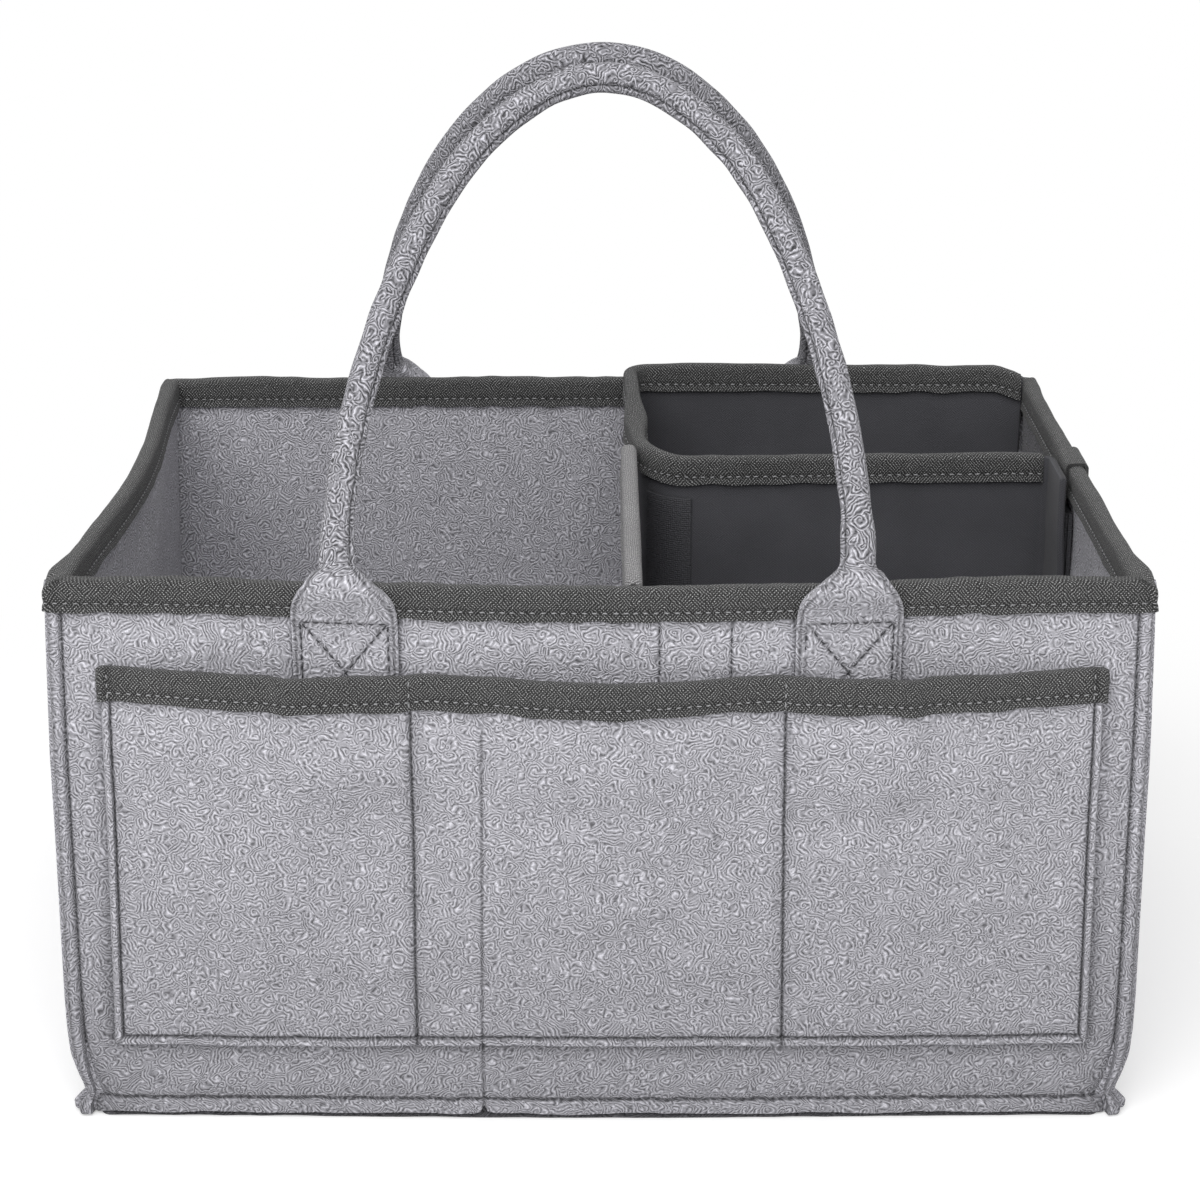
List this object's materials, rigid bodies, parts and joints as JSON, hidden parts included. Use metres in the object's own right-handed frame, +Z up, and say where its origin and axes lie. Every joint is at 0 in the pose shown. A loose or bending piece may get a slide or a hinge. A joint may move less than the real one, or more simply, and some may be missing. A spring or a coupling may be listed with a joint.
{
  "type": "felt diaper caddy",
  "caption": "Open rectangular felt caddy with outside seams, bound rims, a divided front pocket, rolled carrying handles, a lift-out divider and a rear bin.",
  "frame": {"origin": "on the surface the caddy stands on, under the middle of its overall width and depth", "axes": "+X to the right as seen from the front pocket, +Y from the front pocket to the back, +Z up"},
  "size_m": [0.3662, 0.282, 0.35],
  "materials": {
    "felt": "pale grey needled felt with curly fibres, matte",
    "rolled_felt": "the same felt, rolled and stitched, matte",
    "binding": "charcoal herringbone binding tape, matte",
    "pale_binding": "grey binding tape, matte",
    "dark_lining": "charcoal stiffened lining, matte",
    "fastener_strip": "dark hook and loop tape, matte",
    "board": "felt-covered stiffening board, matte",
    "cord": "soft filler cord, matte"
  },
  "bodies": {
    "root": {"front_panel": "felt", "back_panel": "felt", "left_panel": "felt", "right_panel": "felt", "bottom_panel": "felt", "base_board": "board", "rim_binding": "binding", "front_pocket": "felt", "pocket_binding": "binding", "front_tab_left": "rolled_felt", "front_tab_right": "rolled_felt", "back_tab_left": "rolled_felt", "back_tab_right": "rolled_felt", "divider_loop_strip": "fastener_strip", "rear_bin": "dark_lining", "rear_bin_binding": "binding", "bin_join_strip": "fastener_strip", "side_hook_strip": "fastener_strip", "side_loop_strip": "fastener_strip", "bin_rim_tab": "binding"},
    "front_handle": {"front_handle": "rolled_felt", "front_handle_core": "cord"},
    "back_handle": {"back_handle": "rolled_felt", "back_handle_core": "cord"},
    "front_divider": {"front_divider": "felt", "front_divider_binding": "pale_binding", "divider_hook_strip": "fastener_strip"}
  },
  "joints": [
    {"name": "front_handle_swing", "type": "hinge", "parent": "root", "child": "front_handle", "pos_m": [0, -0.1377, 0.20105], "axis": [1, 0, 0], "range_deg": [0, 214]},
    {"name": "back_handle_swing", "type": "hinge", "parent": "root", "child": "back_handle", "pos_m": [0, 0.1413, 0.20105], "axis": [-1, 0, 0], "range_deg": [0, 214]},
    {"name": "front_divider_lift", "type": "slide", "parent": "root", "child": "front_divider", "axis": [0, 0, 1], "range_m": [0, 0.13]}
  ]
}
